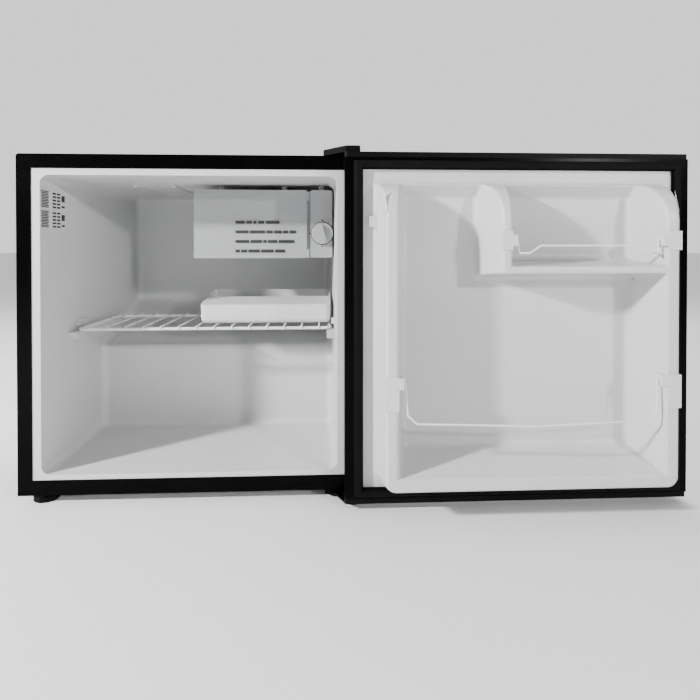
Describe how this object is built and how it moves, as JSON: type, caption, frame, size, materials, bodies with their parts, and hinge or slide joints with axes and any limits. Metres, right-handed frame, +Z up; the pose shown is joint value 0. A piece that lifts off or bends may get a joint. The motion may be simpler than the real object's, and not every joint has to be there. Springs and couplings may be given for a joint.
{
  "type": "mini fridge",
  "caption": "Compact black refrigerator standing with its door wide open: white lined room, freezer box, wire shelf with drip tray, racks on the door and a rear coil.",
  "frame": {"origin": "on the floor below the middle of the cabinet, at the level of the feet's soles", "axes": "+Z is up, +X is to the right as the cabinet is faced, +Y is from the door opening to the back; the door is open by 180 degrees and lies beside the cabinet towards +X"},
  "size_m": [0.9215, 0.5055, 0.493],
  "materials": {
    "black_enamel": "satin",
    "galvanised": "satin",
    "foam": "matte",
    "white_liner": "satin",
    "black_plastic": "satin",
    "black_rubber": "matte",
    "magnet_strip": "matte",
    "white_plastic": "satin",
    "clear_rubber": "satin",
    "white_wire": "gloss",
    "grey_plastic": "satin",
    "aluminium_sheet": "satin",
    "zinc_screws": "satin",
    "compressor_black": "satin",
    "black_tube": "satin",
    "copper_tube": "satin"
  },
  "bodies": {
    "cabinet": {"base_panel": "galvanised", "bay_panel": "galvanised", "bottom_hinge": "black_enamel", "bottom_hinge_screws": "zinc_screws", "cabinet_foam": "foam", "compressor": "compressor_black", "compressor_bolts": "zinc_screws", "compressor_grommets": "black_rubber", "compressor_tray": "galvanised", "condenser_brackets": "black_plastic", "condenser_coil": "black_tube", "condenser_wires": "black_tube", "cord_gland": "black_rubber", "discharge_line": "copper_tube", "drier_line": "copper_tube", "evaporator_box": "aluminium_sheet", "evaporator_hangers": "white_plastic", "filter_drier": "copper_tube", "foot_inserts": "galvanised", "freezer_frame": "grey_plastic", "front_rail": "black_enamel", "hinge_anchors": "galvanised", "hinge_hole_plugs": "black_plastic", "inner_liner": "white_liner", "outer_wrap": "black_enamel", "rear_feet": "black_plastic", "rear_panel": "black_enamel", "rear_screws": "zinc_screws", "start_relay_cover": "black_plastic", "suction_line": "copper_tube", "thermostat_body": "galvanised", "thermostat_housing": "grey_plastic", "top_hinge": "black_enamel", "top_hinge_cover": "black_plastic", "top_hinge_screws": "zinc_screws"},
    "door": {"door_outer_panel": "black_enamel", "door_top_cap": "black_plastic", "door_bottom_cap": "black_plastic", "door_foam": "foam", "door_liner": "white_liner", "door_gasket": "black_rubber", "gasket_magnets": "magnet_strip", "door_bushes": "white_plastic", "door_plugs": "black_plastic", "door_bumper": "clear_rubber", "wire_clips": "white_plastic"},
    "upper_wire": {"upper_rack_wire": "white_wire"},
    "lower_wire": {"lower_rack_wire": "white_wire"},
    "flap": {"freezer_flap": "grey_plastic"},
    "knob": {"thermostat_knob": "grey_plastic"},
    "shelf": {"wire_shelf": "white_wire"},
    "tray": {"drip_tray": "grey_plastic"},
    "left_foot": {"front_left_foot": "black_plastic"},
    "right_foot": {"front_right_foot": "black_plastic"}
  },
  "joints": [
    {"name": "door_hinge", "type": "hinge", "parent": "cabinet", "child": "door", "pos_m": [0.22475, -0.2245, 0.25], "axis": [0, 0, 1], "range_deg": [-180, 5]},
    {"name": "flap_hinge", "type": "hinge", "parent": "cabinet", "child": "flap", "pos_m": [0.1608, -0.0985, 0.39], "axis": [0, 0, 1], "range_deg": [0, 90]},
    {"name": "knob_turn", "type": "hinge", "parent": "cabinet", "child": "knob", "pos_m": [0.183, -0.1, 0.377], "axis": [0, -1, 0], "range_deg": [-30, 240]},
    {"name": "shelf_slide", "type": "slide", "parent": "cabinet", "child": "shelf", "axis": [0, -1, 0], "range_m": [0, 0.25]},
    {"name": "tray_slide", "type": "slide", "parent": "shelf", "child": "tray", "axis": [0, -1, 0], "range_m": [0, 0.15]},
    {"name": "upper_wire_pivot", "type": "hinge", "parent": "door", "child": "upper_wire", "pos_m": [0.55, -0.2905, 0.364], "axis": [-1, 0, 0], "range_deg": [0, 90]},
    {"name": "lower_wire_pivot", "type": "hinge", "parent": "door", "child": "lower_wire", "pos_m": [0.4495, -0.2905, 0.186], "axis": [-1, 0, 0], "range_deg": [0, 90]},
    {"name": "left_foot_turn", "type": "hinge", "parent": "cabinet", "child": "left_foot", "pos_m": [-0.206, -0.181, 0.01], "axis": [0, 0, 1], "continuous": true},
    {"name": "right_foot_turn", "type": "hinge", "parent": "cabinet", "child": "right_foot", "pos_m": [0.206, -0.181, 0.01], "axis": [0, 0, 1], "continuous": true}
  ]
}
